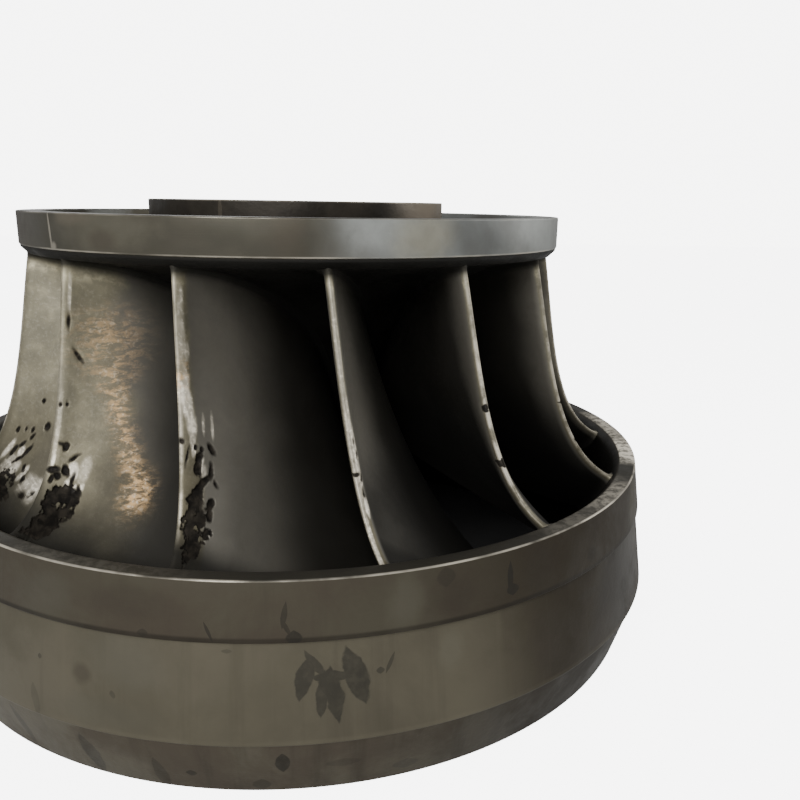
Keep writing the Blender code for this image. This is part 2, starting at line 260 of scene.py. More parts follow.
class StageSettings(bpy.types.PropertyGroup):
    """Camera and floor round the runner."""

    camera_place: bpy.props.FloatVectorProperty(
        name="Camera place", description="Where the camera stands",
        subtype="XYZ", unit="LENGTH", size=3, default=(0.3538, -3.1107, 1.5604))
    camera_pitch: bpy.props.FloatProperty(
        name="Camera pitch", description="How far the camera looks down",
        subtype="ANGLE", default=math.radians(14.319))
    camera_yaw: bpy.props.FloatProperty(
        name="Camera yaw", description="How far the camera turns left",
        subtype="ANGLE", default=math.radians(-1.016))
    camera_roll: bpy.props.FloatProperty(
        name="Camera roll", description="How far the camera leans",
        subtype="ANGLE", default=math.radians(0.907))
    floor_size: bpy.props.FloatProperty(
        name="Floor size", description="Side of the pale floor", default=60.0, unit="LENGTH")


class Wire:
    """A node's output; sums and products with it add Math nodes to its tree."""

    def __init__(self, socket):
        self.socket = socket
        self.tree = socket.id_data

    def __add__(self, other):
        return maths("ADD", self, other)

    def __sub__(self, other):
        return maths("SUBTRACT", self, other)

    def __rsub__(self, other):
        return maths("SUBTRACT", other, self)

    def __mul__(self, other):
        return maths("MULTIPLY", self, other)

    def __truediv__(self, other):
        return maths("DIVIDE", self, other)

    def __abs__(self):
        return maths("ABSOLUTE", self)

    def most(self, other):
        """Give the larger of two values."""
        return maths("MAXIMUM", self, other)

    def clamped(self):
        """Keep the value that its Math node gives between 0 and 1."""
        self.socket.node.use_clamp = True
        return self

    def ramp(self, low, high, start=0.0, end=1.0):
        """Step smoothly from start to end while this value goes from low to high."""
        return node(self.tree, "ShaderNodeMapRange",
                    {"Value": self, "From Min": low, "From Max": high, "To Min": start, "To Max": end},
                    interpolation_type="SMOOTHSTEP")

    def between(self, start, end):
        """Step smoothly from start to end while this value goes from 0 to 1."""
        return self.ramp(0.0, 1.0, start, end)


def node(tree, kind, inputs=None, out=0, **settings):
    """Add a node and give one output; an input that is a wire is linked, any other is set."""
    made = tree.nodes.new(kind)
    for name, value in settings.items():
        setattr(made, name, value)
    for key, value in (inputs or {}).items():
        if isinstance(value, Wire):
            tree.links.new(value.socket, made.inputs[key])
        else:
            made.inputs[key].default_value = value
    return Wire(made.outputs[out])


def maths(operation, first, second=0.0):
    """Add a Math node to the tree of its wires."""
    tree = (first if isinstance(first, Wire) else second).tree
    return node(tree, "ShaderNodeMath", {0: first, 1: second}, operation=operation)


def mixed(factor, first, second):
    """Mix two colours by a wire."""
    return node(factor.tree, "ShaderNodeMix", {0: factor, 6: first, 7: second}, 2, data_type="RGBA")


def cloud(vector, scale, detail=4.0, rough=0.55, distortion=0.0):
    """Add a noise texture and give its value."""
    return node(vector.tree, "ShaderNodeTexNoise",
                {"Vector": vector, "Scale": scale, "Detail": detail, "Roughness": rough,
                 "Distortion": distortion})


def round_place(tree):
    """Give the object coordinates, the heading's x and y, the radius and the height."""
    place = node(tree, "ShaderNodeTexCoord", out="Object")
    flat = node(tree, "ShaderNodeVectorMath", {0: place, 1: (1.0, 1.0, 0.0)}, operation="MULTIPLY")
    radius = node(tree, "ShaderNodeVectorMath", {0: flat}, "Value", operation="LENGTH")
    heading = node(tree, "ShaderNodeVectorMath", {0: flat}, operation="NORMALIZE")
    side = node(tree, "ShaderNodeSeparateXYZ", {0: heading})
    back = Wire(side.socket.node.outputs[1])
    return place, side, back, radius, node(tree, "ShaderNodeSeparateXYZ", {0: place}, 2)


def wall_place(tree, angle, middle):
    """Give how far a point of a round wall lies aside of and above a place on it, in metres."""
    place, side, back, radius, height = round_place(tree)
    turn = maths("ARCTAN2", side, back * -1.0)
    return place, (turn - angle) * radius, height - middle


def turned_marks(tree, lines, breakup):
    """Fine lines left by the lathe, running round the axis."""
    place, side, back, radius, height = round_place(tree)
    vector = node(tree, "ShaderNodeCombineXYZ",
                  {0: side * 1.4, 1: back * 1.4, 2: (radius + height) * lines})
    patches = cloud(place, 2.2, 3.0).ramp(0.35, 0.65)
    return cloud(vector, 1.0, 3.0, 0.7) * (1.0 - patches * breakup)


def water_streaks(tree, around, down, low, high, seed):
    """Streaks that run straight down a round wall, as water leaves them."""
    place, side, back, radius, height = round_place(tree)
    vector = node(tree, "ShaderNodeCombineXYZ",
                  {0: side * around, 1: back * around + seed, 2: height * down})
    return cloud(vector, 1.0, 5.0, 0.62).ramp(low, high)


def mottle(tree, scale, low, high, seed):
    """Soft clouds of tarnish."""
    place = node(tree, "ShaderNodeTexCoord", out="Object")
    shift = node(tree, "ShaderNodeCombineXYZ", {0: seed, 1: 1.7, 2: 4.1})
    moved = node(tree, "ShaderNodeVectorMath", {0: place, 1: shift}, operation="ADD")
    return cloud(moved, scale, 6.0, 0.6, 0.3).ramp(low, high)


def edge_line(tree, middle, reach, breakup, scale):
    """A broken line at a given height round the part, laid as worn edges, painted highlights and a
    painted shadow.
    """
    place, side, back, radius, height = round_place(tree)
    near = (abs(height - middle) / reach).ramp(0.45, 1.0, 1.0, 0.0)
    patches = cloud(place, scale, 5.0).ramp(0.40, 0.60)
    return near * (1.0 - breakup * (1.0 - patches))


def stain(tree, angle, middle, half_width, half_length, lean, ragged):
    """One dark stain, pointed above and below, leaning, at an angle and height of a round wall."""
    place, side, up = wall_place(tree, angle, middle)
    wide = abs((side - up * lean) / half_width)
    tall = up / half_length
    rough = cloud(place, 19.0, 4.0, 0.6) - 0.5
    inside = 1.0 - tall * tall - wide + rough * (ragged * 4.0)
    return inside.ramp(-0.02, 0.20)


def soft_patch(tree, angle, middle, half_width, half_length):
    """A soft oval change of tone at an angle and height of a round wall."""
    place, side, up = wall_place(tree, angle, middle)
    wide, tall = side / half_width, up / half_length
    rough = cloud(place, 8.0, 4.0, 0.6) - 0.5
    away = maths("SQRT", wide * wide + tall * tall) + rough * 1.2
    return away.ramp(0.35, 1.25, 1.0, 0.0)


# Shared shader node groups: what paints them, name, output, and inputs with their defaults.
GROUPS = (
    (turned_marks, "Turned Marks", "Height", {"Lines": 300.0, "Breakup": 0.6}),
    (water_streaks, "Water Streaks", "Mask",
     {"Around": 9.0, "Down": 0.8, "Low": 0.5, "High": 0.7, "Seed": 0.0}),
    (mottle, "Mottle", "Mask", {"Scale": 3.0, "Low": 0.35, "High": 0.65, "Seed": 0.0}),
    (edge_line, "Edge Wear", "Mask", {"Height": 0.0, "Reach": 0.006, "Breakup": 0.5, "Scale": 7.0}),
    (stain, "Stain", "Mask", {"Angle": 0.0, "Height": 0.3, "Half Width": 0.03, "Half Length": 0.06,
                              "Lean": 0.0, "Ragged": 0.3}),
    (soft_patch, "Soft Patch", "Mask",
     {"Angle": 0.0, "Height": 0.3, "Half Width": 0.1, "Half Length": 0.1}),
)


def add_groups():
    """Build the shared effects once."""
    for paint, name, output, inputs in GROUPS:
        tree = bpy.data.node_groups.new(name, "ShaderNodeTree")
        for label, default in inputs.items():
            socket = tree.interface.new_socket(label, in_out="INPUT", socket_type="NodeSocketFloat")
            socket.default_value = default
        tree.interface.new_socket(output, in_out="OUTPUT", socket_type="NodeSocketFloat")
        ends = tree.nodes.new("NodeGroupInput").outputs
        result = paint(tree, *(Wire(ends[label]) for label in inputs))
        tree.links.new(result.socket, tree.nodes.new("NodeGroupOutput").inputs[0])


class Shade:
    """One of the settings' colours, scaled and given an alpha when called."""

    def __init__(self, name):
        self.name = name

    def __call__(self, share=1.0, green=1.0, blue=1.0):
        colour = getattr(bpy.context.scene.runner_colours, self.name)
        return (colour[0] * share, colour[1] * share * green, colour[2] * share * blue, 1.0)

    def warm(self, share):
        """Scale the colour and make it browner."""
        return self(share, 0.92, 0.74)


TURNED, OLIVE, BROWN, BLADE, GROUND, SMOOTH, WORN_AND_SHEEN, BAND, OXIDE_AND_SHADE, RUST = map(Shade, (
    "turned_steel", "olive_steel", "brown_steel", "blade_steel", "ground_steel", "smooth_steel",
    "worn_edge", "band_steel", "oxide", "rust"))


class Coat:
    """A material while it is painted, with the colour laid on it so far."""

    def __init__(self, name, metallic, specular=0.5):
        self.material = bpy.data.materials.new(name)
        self.material.use_nodes = True
        self.tree = self.material.node_tree
        self.inputs = self.tree.nodes["Principled BSDF"].inputs
        self.inputs["Metallic"].default_value = metallic
        self.inputs["Specular IOR Level"].default_value = specular
        self.place, self.side, back, self.radius, self.height = round_place(self.tree)
        self.colour = None

    def effect(self, name, *values):
        """Place a shared effect with its inputs in order and give its output."""
        return node(self.tree, "ShaderNodeGroup", dict(enumerate(values)),
                    node_tree=bpy.data.node_groups[name])

    def patch(self, angle, *values):
        """Place a soft patch at an angle in degrees."""
        return self.effect("Soft Patch", math.radians(angle), *values)

    def lay(self, share, tone):
        """Mix a tone over the colour."""
        self.colour = mixed(share, self.colour, tone)

    def tone(self, *patches):
        """Lay soft patches of other tones."""
        for *where, share, tone in patches:
            self.lay(self.patch(*where) * share, tone)

    def stain(self, stains, tone, ragged):
        """Lay dark pointed stains, run together where they meet."""
        worn = cloud(self.place, 30.0, 5.0).ramp(0.25, 0.60, 0.70, 1.0)
        masks = [self.effect("Stain", math.radians(angle), height / 1000, wide / 1000, tall / 1000,
                             lean, ragged) * share
                 for angle, height, wide, tall, lean, share in stains]
        self.lay(reduce(Wire.most, masks) * worn, tone)

    def feed(self, label, wire):
        """Link a wire to one of the shader's inputs."""
        self.tree.links.new(wire.socket, self.inputs[label])

    def finish(self, rough, relief, strength, distance):
        """Feed colour, roughness and bump to the shader and give the material."""
        self.feed("Base Color", self.colour)
        self.feed("Roughness", rough)
        self.feed("Normal", node(self.tree, "ShaderNodeBump",
                                 {"Height": relief, "Strength": strength, "Distance": distance}))
        return self.material


def ring_material():
    """Turned steel of the ring round the crown, with painted light: pale blue-grey on the lit right,
    darker olive and brown to the left.
    """
    coat = Coat("turned_ring_steel", 0.7)
    middle = (RIM_FOOT + RIM_TOP) / 2
    clouds = coat.effect("Mottle", 2.6, 0.34, 0.62)
    fine = coat.effect("Mottle", 14.0, 0.30, 0.72, 3.0)
    # Painted light: the ring is pale blue-grey where it is lit on the right and darker olive towards the
    # left.
    coat.colour = mixed(coat.side.ramp(0.10, 0.34, 1.0, 0.0), TURNED(), OLIVE())
    coat.lay(clouds * 0.20, BROWN(1.8))
    coat.tone(
        (-62.0, middle, 0.26, 0.30, 0.85, BROWN(0.80)),
        (-33.5, RIM_TOP - 0.01, 0.09, 0.030, 0.6, BROWN(3.6)),
        (-28.0, middle + 0.01, 0.20, 0.08, 0.6, OLIVE(2.3)),
        (-27.0, RIM_FOOT + 0.035, 0.06, 0.035, 0.55, BROWN(1.2)),
        (6.0, middle, 0.12, 0.10, 0.5, OLIVE(0.75)),
        (4.5, middle, 0.06, 0.08, 0.35, BROWN(1.6)),
        (20.0, RIM_TOP - 0.03, 0.14, 0.07, 0.65, TURNED(1.7)),
        (27.0, middle, 0.12, 0.08, 0.60, OLIVE(6.0)),
        (38.0, middle, 0.12, 0.12, 0.55, TURNED(0.35)),
        (44.0, middle, 0.10, 0.12, 0.30, TURNED(0.35)),
        (58.0, middle + 0.01, 0.20, 0.09, 0.55, TURNED(1.7)),
        (120.0, middle, 0.20, 0.10, 0.5, BROWN()),
        (-170.0, middle, 0.25, 0.10, 0.6, BROWN(0.8)),
        (-110.0, middle, 0.15, 0.10, 0.5, TURNED(1.7)))
    coat.lay(fine * 0.18, BROWN())
    # Painted shade: the ring's top face is darkened towards the left.
    above = coat.height.ramp(RIM_TOP - 0.003, RIM_TOP - 0.0005)
    coat.lay(above * coat.side.ramp(0.35, 0.75, 0.85, 0.0), BROWN(0.5))
    # Painted highlights on worn metal: broken bright lines along the ring's outer lower and upper edges.
    wear_and_sheen = coat.effect("Edge Wear", RIM_FOOT + 0.001, 0.006, 0.90, 2.2)
    upper = coat.effect("Edge Wear", RIM_TOP, 0.005, 0.9, 5.0)
    outside = coat.radius.ramp(RIM_RADIUS - 0.008, RIM_RADIUS - 0.003)
    seam = coat.effect("Stain", math.radians(-40.9), middle, 0.006, 0.075, -0.10, 0.06)
    blot = coat.patch(-40.0, RIM_FOOT + 0.012, 0.018, 0.014)
    bright = outside * (wear_and_sheen * 0.6).most(upper * 0.25)
    bright = bright.most(seam.most(blot) * 0.40)
    coat.lay(bright, WORN_AND_SHEEN())
    lines = coat.effect("Turned Marks", 420.0, 0.6)
    rough = clouds * 0.14 + lines * 0.14 + 0.32 - bright * 0.08
    return coat.finish(rough, lines + fine * 0.4, 0.25, 0.0010)


def crown_material():
    """Cast steel of the crown: brown on top, painted near black below the rim as the shade over the
    passages.
    """
    coat = Coat("cast_crown_steel", 0.35, 0.25)
    clouds = coat.effect("Mottle", 5.0, 0.30, 0.70)
    grains = coat.effect("Mottle", 42.0, 0.35, 0.70, 6.0)
    # Painted shade: below the rim's foot the crown and the cone are near black.
    top = coat.height.ramp(RIM_FOOT - 0.006, RIM_FOOT + 0.010)
    dark = mixed(clouds, OXIDE_AND_SHADE(0.30), OXIDE_AND_SHADE(0.55))
    coat.colour = mixed(top, dark, mixed(clouds, BROWN(0.45), BROWN(0.8)))
    coat.lay(grains * (top * 0.4), BROWN(0.35))
    lines = coat.effect("Turned Marks", 160.0, 0.7)
    relief = lines * (top * 0.8) + grains * 0.9
    return coat.finish(clouds.between(0.55, 0.75), relief, 0.4, 0.0014)


def flange_material():
    """Brown tarnished steel of the shaft flange, its wall painted lighter to the right, where light
    falls.
    """
    coat = Coat("tarnished_flange_steel", 0.6)
    clouds = coat.effect("Mottle", 6.0, 0.32, 0.68, 2.0)
    grains = coat.effect("Mottle", 38.0, 0.35, 0.70, 4.0)
    coat.colour = mixed(clouds, BROWN(0.34), BROWN(0.62))
    coat.lay(grains * 0.3, BROWN(0.25))
    wall = coat.radius.ramp(FLANGE_RADIUS - 0.012, FLANGE_RADIUS - 0.004)
    # Painted light: the flange's wall is made much lighter on its right side.
    coat.lay(coat.side.ramp(0.58, 0.92) * (wall * 0.75), BROWN(4.2))
    mark = coat.effect("Stain", math.radians(-20.5), FLANGE_TOP - 0.04, 0.008, 0.055, 0.0, 0.08)
    coat.lay(mark * wall * 0.30, BROWN(2.4))
    coat.lay(coat.height.ramp(FLANGE_TOP - 0.003, FLANGE_TOP - 0.001, 0.0, 0.10), WORN_AND_SHEEN(0.6))
    # Painted highlight on worn metal: a broken bright line along the outer top edge.
    wear_and_sheen = coat.effect("Edge Wear", FLANGE_TOP, 0.006, 0.9, 9.0)
    outer = coat.radius.ramp(FLANGE_RADIUS - 0.016, FLANGE_RADIUS - 0.006, 0.0, 0.4)
    coat.lay(wear_and_sheen * outer, WORN_AND_SHEEN(0.6))
    lines = coat.effect("Turned Marks", 300.0, 0.5)
    return coat.finish(clouds.between(0.40, 0.60), lines + grains, 0.3, 0.0010)


def blade_material():
    """Ground blade steel: light worn strip, rust flecks, black pits, painted shade further in and at the
    ends, painted highlight along the nose.
    """
    coat = Coat("ground_blade_steel", 0.55, 0.35)
    reach, ground, dark, pit, shine, rust, foot, weld, nose = (
        node(coat.tree, "ShaderNodeAttribute", out="Fac", attribute_name=name) for name in
        ("reach", "ground", "dark", "pit", "shine", "rust", "foot", "weld", "nose"))
    pit = pit.ramp(-0.0032, 0.0030)
    clouds = coat.effect("Mottle", 5.0, 0.30, 0.70, 9.0)
    blotches = coat.effect("Mottle", 15.0, 0.32, 0.62, 14.0)
    fine = coat.effect("Mottle", 34.0, 0.35, 0.70, 1.0)
    specks = cloud(coat.place, 85.0, 4.0, 0.6).ramp(0.50, 0.66)
    flat = node(coat.tree, "ShaderNodeVectorMath", {0: coat.place, 1: (1.0, 1.0, 2.4)},
                operation="MULTIPLY")
    ripples = cloud(flat, 24.0, 8.0, 0.70, 0.4).ramp(0.40, 0.64)
    coat.colour = mixed(clouds, BLADE(0.84), BLADE(0.62))
    coat.lay(blotches * 0.55, GROUND(0.68))
    coat.lay(fine * 0.22, GROUND(0.45))
    coat.lay(specks * 0.10, WORN_AND_SHEEN())
    coat.lay(coat.height.ramp(0.72, 1.0, 0.62, 0.0), GROUND.warm(0.42))
    coat.colour = mixed(ground, mixed(clouds, SMOOTH(), SMOOTH(0.75)), coat.colour)
    # Painted shade deep in the passages.
    coat.lay(dark, OXIDE_AND_SHADE(1.7))
    coat.lay(weld * fine.between(0.20, 0.9), BLADE(1.5))
    golden = (rust * ripples.between(0.10, 1.3)).clamped()
    coat.lay(golden * 0.92, RUST(0.95))
    coat.lay(specks * (golden * 0.7), WORN_AND_SHEEN(1.2))
    # Painted highlight on worn metal: a broken bright strip along the rounded nose, laid with the shine.
    broken = cloud(coat.place, 19.0, 6.0, 0.65).ramp(0.36, 0.58, 0.12, 1.0)
    worn = reach.ramp(0.001, 0.009, 1.0, 0.0) * broken * nose
    bright = worn.most(shine * specks.between(0.70, 1.25)).clamped()
    coat.lay(bright, WORN_AND_SHEEN(1.6))
    # Painted shade at the blade's ends.
    coat.lay(foot * 0.93, OXIDE_AND_SHADE(0.45))
    coat.lay(pit, mixed(fine, BROWN(0.12), BROWN(0.60)))
    coat.feed("Metallic", bright.between(0.55, 0.05))
    rough = clouds.between(0.42, 0.54) + dark * 0.12 - bright * 0.16 + foot * 0.30 + pit * 0.30
    relief = (fine + specks * 0.5) * ground.between(0.25, 1.0)
    return coat.finish(rough.clamped(), relief, 0.25, 0.0008)


def band_material():
    """Olive-grey and brown steel of the band with faint runs and a worn lip, painted darker to the right
    as shade, with painted reflections and highlights on the lip.
    """
    coat = Coat("worn_band_steel", 0.5, 0.2)
    clouds = coat.effect("Mottle", 3.2, 0.34, 0.66, 5.0)
    fine = coat.effect("Mottle", 26.0, 0.35, 0.70, 7.0)
    runs = coat.effect("Water Streaks", 11.0, 1.1, 0.50, 0.72)
    coat.colour = mixed(clouds, BAND(0.67), BROWN(0.98))
    # Painted shade: the band darkens and browns towards its right side.
    coat.lay(coat.side.ramp(0.25, 0.72, 0.0, 0.92), BROWN.warm(0.42))
    coat.lay(runs * 0.30, BROWN(0.45))
    coat.tone(
        (-24.0, 0.545, 0.10, 0.06, 0.4, OLIVE(1.2)), (-13.0, 0.560, 0.16, 0.05, 0.5, BROWN(0.75)),
        (17.5, 0.560, 0.055, 0.09, 0.4, OLIVE(1.6)), (24.0, 0.540, 0.07, 0.07, 0.5, BROWN(0.7)),
        (36.0, 0.560, 0.08, 0.08, 0.5, BROWN(0.55)), (66.0, 0.560, 0.10, 0.10, 0.6, OLIVE.warm(0.9)))
    # Painted shadow: a dark line along the foot of the band's wall, at the step down to the middle land.
    step = coat.effect("Edge Wear", LAND_Z + 0.002, 0.016, 0.25, 5.0)
    coat.lay(step * 0.75, BROWN(0.30))
    coat.stain(UPPER_STAINS, OXIDE_AND_SHADE(0.9), 0.16)
    inner = coat.radius.ramp(LIP_INNER - 0.016, LIP_INNER + 0.004, 1.0, 0.0)
    lip = coat.height.ramp(BAND_TOP - 0.0045, BAND_TOP - 0.0015) * (1.0 - inner)
    coat.lay(lip * 0.85, OXIDE_AND_SHADE(1.8))
    # Painted shade: the band's inner face is near black.
    coat.lay(inner, OXIDE_AND_SHADE(0.45))
    # Painted reflections with scuffed worn metal on the lip's top, kept dark over a stretch at 69.5
    # degrees; the outer edge gets a painted highlight.
    bare_and_sheen = reduce(Wire.most, [coat.patch(angle, BAND_TOP, reach, 0.2) * share
                              for angle, reach, share in LIP_BARE_AND_SHEEN])
    gap = coat.patch(69.5, BAND_TOP, 0.055, 0.2)
    scuffs = cloud(coat.place, 30.0, 7.0, 0.72).ramp(0.40, 0.58, 0.20, 1.1)
    edge = coat.effect("Edge Wear", BAND_TOP - 0.0015, 0.0034, 0.92, 3.0)
    outer = coat.radius.ramp(LIP_OUTER - 0.007, LIP_OUTER - 0.003)
    bright = lip * (bare_and_sheen * scuffs * (1.0 - gap))
    bright = bright.most(edge * (outer * 0.50)).clamped()
    coat.lay(bright, WORN_AND_SHEEN(1.5))
    lines = coat.effect("Turned Marks", 260.0, 0.7)
    return coat.finish(clouds.between(0.46, 0.60) + bright * -0.16, lines + fine, 0.25, 0.0010)


def middle_land_material():
    """Lighter olive-grey land with faint drips and dark stains, painted darker to the right as shade."""
    coat = Coat("stained_land_steel", 0.5, 0.2)
    clouds = coat.effect("Mottle", 2.4, 0.34, 0.66, 11.0)
    fine = coat.effect("Mottle", 24.0, 0.35, 0.70, 13.0)
    runs = coat.effect("Water Streaks", 16.0, 0.9, 0.50, 0.72, 5.0)
    pale_runs = coat.effect("Water Streaks", 24.0, 0.6, 0.56, 0.70, 21.0)
    coat.colour = mixed(clouds, BAND(1.08), BAND(0.88))
    # Painted shade: the land darkens and browns towards its right side.
    coat.lay(coat.side.ramp(0.40, 0.66, 0.0, 0.95), BROWN.warm(0.42))
    coat.lay(runs * 0.22, BROWN(0.6))
    coat.lay(pale_runs * 0.11, BAND(1.35))
    coat.tone(
        (-13.0, 0.400, 0.14, 0.09, 0.45, OLIVE(1.6)), (-19.0, 0.342, 0.035, 0.030, 0.5, BROWN(0.75)),
        (-16.0, 0.240, 0.16, 0.05, 0.35, OLIVE(1.3)), (23.0, 0.400, 0.05, 0.07, 0.35, OLIVE(2.0)),
        (37.0, 0.330, 0.10, 0.12, 0.35, BROWN(0.65)), (64.0, 0.400, 0.12, 0.09, 0.7, BROWN.warm(0.75)),
        (52.0, 0.240, 0.16, 0.05, 0.6, BROWN(0.55)), (58.0, 0.370, 0.26, 0.16, 0.7, BROWN.warm(0.20)))
    foot = coat.effect("Edge Wear", SEAL_FOOT, 0.02, 0.6, 4.0)
    coat.lay(foot * 0.25, BAND(1.35))
    coat.stain(LAND_STAINS, OXIDE_AND_SHADE(1.45), 0.24)
    lines = coat.effect("Turned Marks", 300.0, 0.7)
    return coat.finish(clouds.between(0.44, 0.58), lines + fine, 0.22, 0.0010)


def outlet_ring_material():
    """Darker steel of the lower ring with stains, painted darker still towards the right as shade."""
    coat = Coat("dark_band_steel", 0.5, 0.2)
    clouds = coat.effect("Mottle", 3.6, 0.34, 0.66, 17.0)
    fine = coat.effect("Mottle", 30.0, 0.35, 0.70, 19.0)
    runs = coat.effect("Water Streaks", 20.0, 1.4, 0.48, 0.70, 9.0)
    coat.colour = mixed(clouds, BAND(0.94), BROWN(1.15))
    # Painted shade: the ring darkens towards its right side.
    coat.lay(coat.side.ramp(0.12, 0.72, 0.0, 0.85), BROWN(0.34))
    coat.lay(runs * 0.30, BROWN(0.40))
    coat.stain(FOOT_STAINS, OXIDE_AND_SHADE(0.8), 0.16)
    lines = coat.effect("Turned Marks", 220.0, 0.8)
    return coat.finish(clouds.between(0.46, 0.62), lines + fine, 0.3, 0.0012)


def bolt_material():
    """Plain dark steel of the cone's screws."""
    coat = Coat("screw_steel", 0.8)
    clouds = coat.effect("Mottle", 60.0, 0.35, 0.65, 23.0)
    coat.colour = mixed(clouds, TURNED(0.5), BROWN(0.5))
    return coat.finish(clouds.between(0.35, 0.6), clouds, 0.3, 0.0006)


def floor_material():
    """Plain pale floor, painted near black as shade where the band closes it in."""
    coat = Coat("pale_floor", 0.0)
    # Painted shade: the floor inside the band's seat is near black and does not glow.
    shade = coat.radius.ramp(BAND_SEAT - 0.025, BAND_SEAT - 0.005, 1.0, 0.0)
    seen = node(coat.tree, "ShaderNodeLightPath", out="Is Camera Ray")
    coat.feed("Base Color", mixed(shade, (0.80, 0.80, 0.79, 1.0), (0.02, 0.02, 0.02, 1.0)))
    coat.feed("Emission Color",
              mixed(seen * (1.0 - shade), (0.0, 0.0, 0.0, 1.0), (0.9, 0.9, 0.9, 1.0)))
    coat.inputs["Roughness"].default_value = 0.85
    coat.inputs["Emission Strength"].default_value = 6.8
    return coat.material


def cubic(curve, share):
    """Give radius and height of a meridional cubic at an array of shares."""
    rest = 1.0 - share
    weights = (rest ** 3, 3 * rest * rest * share, 3 * rest * share * share, share ** 3)
    return np.array([sum(w * p[axis] for w, p in zip(weights, curve)) for axis in (0, 1)])


def outlet_edge(share):
    """Give the blade's outlet edge in the meridional plane, bowed downwards."""
    start = cubic(CROWN_FLOW, np.float64(CROWN_OUTLET_AT))
    end = cubic(BAND_FLOW, np.float64(BAND_OUTLET_AT))
    radius = start[0] + (end[0] - start[0]) * share
    height = start[1] + (end[1] - start[1]) * share - 4 * share * (1 - share) * OUTLET_EDGE_DROP
    return np.array([radius, height])


def camber(chord, span):
    """Give points of the blade's middle surface for arrays of chord and span."""
    crown = cubic(CROWN_FLOW, chord * CROWN_OUTLET_AT)
    band = cubic(BAND_FLOW, chord * BAND_OUTLET_AT)
    inlet = cubic(LEADING_EDGE, span)
    outlet = outlet_edge(span)
    corners = [cubic(LEADING_EDGE, np.float64(end)) for end in (0.0, 1.0)]
    corners += [outlet_edge(np.float64(end)) for end in (0.0, 1.0)]
    place = []
    for axis in (0, 1):
        across = (1 - span) * crown[axis] + span * band[axis]
        along = (1 - chord) * inlet[axis] + chord * outlet[axis]
        first = (1 - span) * corners[0][axis] + span * corners[1][axis]
        last = (1 - span) * corners[2][axis] + span * corners[3][axis]
        place.append(across + along - (1 - chord) * first - chord * last)
    wrap = WRAP[0] + (WRAP[1] - WRAP[0]) * span
    power = WRAP_POWER[0] + (WRAP_POWER[1] - WRAP_POWER[0]) * span
    angle = BLADE_PHASE + BLADE_SWEEP * span + wrap * np.maximum(chord, 0.0) ** power
    radius, height = place
    return np.stack([radius * np.sin(angle), -radius * np.cos(angle), height], axis=-1)


def unit(vectors):
    """Scale vectors to unit length."""
    return vectors / np.maximum(np.linalg.norm(vectors, axis=-1, keepdims=True), 1e-9)


def running_length(points, axis):
    """Give the length run along one axis of a grid of points."""
    steps = np.linalg.norm(np.diff(points, axis=axis), axis=-1)
    pad = [(0, 0), (0, 0)]
    pad[axis] = (1, 0)
    return np.pad(np.cumsum(steps, axis=axis), pad)


def scattered_pits(index, share):
    """Scatter pits of a worn blade near its nose, merged lower down."""
    draw = random.Random(40 + index)
    pits = []
    for number in range(int(PLAIN_PITS * share)):
        merged = number % 5 == 0
        size = 0.030 if merged else draw.uniform(0.008, 0.020)
        pits.append((draw.uniform(0.01, 0.10), draw.uniform(0.63, 0.70 if merged else 0.88),
                     size, size * (0.7 if merged else 0.4), draw.uniform(-55.0, 65.0)))
    return pits


def in_metres(ovals):
    """Turn the four lengths that start each row from mm into metres."""
    return [(*(length / 1000 for length in oval[:4]), *oval[4:]) for oval in ovals]


def noise_at(points, scale, seed):
    """Give noise values at a grid of points."""
    flat = points.reshape(-1, 3) * scale + (0.0, 0.0, 7.3 * seed)
    return np.array([noise.noise(Vector(p)) for p in flat]).reshape(points.shape[:2])


def step_up(values, low, high):
    """Step smoothly from 0 to 1 while the values go from low to high."""
    share = np.clip((values - low) / (high - low), 0.0, 1.0)
    return share * share * (3.0 - 2.0 * share)


def bell(values, middle, width):
    """Rise to 1 at the middle and fall off on both sides of it."""
    return np.exp(-((values - middle) / width) ** 2)


def oval_depth(reach, height, oval):
    """Give how far inside a turned oval on a blade's face each point lies, from 1 at its middle."""
    at, up, long_half, wide_half, turn = oval[:5]
    turn = math.radians(turn)
    along = (height - up) * math.cos(turn) + (reach - at) * math.sin(turn)
    aside = (reach - at) * math.cos(turn) - (height - up) * math.sin(turn)
    return 1.0 - np.sqrt((along / long_half) ** 2 + (aside / wide_half) ** 2)


def pit_depths(index, points, reach, height):
    """Give how far inside the nearest pit's edge each point lies, negative outside."""
    lobes = 0.55 * noise_at(points, 42.0, index) + 0.40 * noise_at(points, 110.0, index + 60)
    slits = noise_at(points * (1.0, 1.0, 0.14), 120.0, index + 80)
    inside = np.full(reach.shape, -1.0)
    for oval in in_metres(PITS.get(index, ())) or scattered_pits(index, BLADE_WEAR_AND_SHADE[index][5]):
        share = lobes if oval[3] > 0.012 else 0.6 * lobes
        inside = np.maximum(inside, (oval_depth(reach, height, oval) + share) * oval[3])
    return inside - 0.020 * np.clip(slits, 0.0, 1.0) * (1.0 - step_up(height, 0.66, 0.70))


